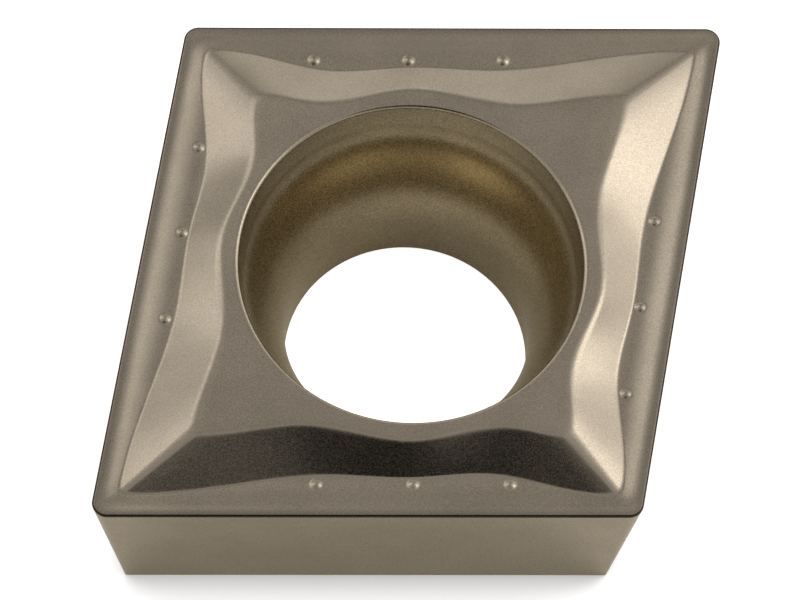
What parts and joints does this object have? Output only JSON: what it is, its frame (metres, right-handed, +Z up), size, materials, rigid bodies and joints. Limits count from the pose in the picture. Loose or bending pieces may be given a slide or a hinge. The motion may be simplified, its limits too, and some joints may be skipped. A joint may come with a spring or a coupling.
{
  "type": "carbide insert",
  "caption": "Rhombic indexable turning insert with relieved flanks, a pressed chipbreaker round a raised island, and a seat for its clamping screw.",
  "frame": {"origin": "where the screw hole's axis meets the base face", "axes": "+Z up the screw hole from the base to the cutting edges, +X along the front cutting edge, with the acute noses at the front left and the back right"},
  "size_m": [0.0112, 0.0096, 0.0042],
  "materials": {
    "coated_carbide": "satin bronze-grey hard coating on cemented carbide, with a fine pressed grain"
  },
  "bodies": {
    "root": {"insert": "coated_carbide"}
  },
  "joints": []
}
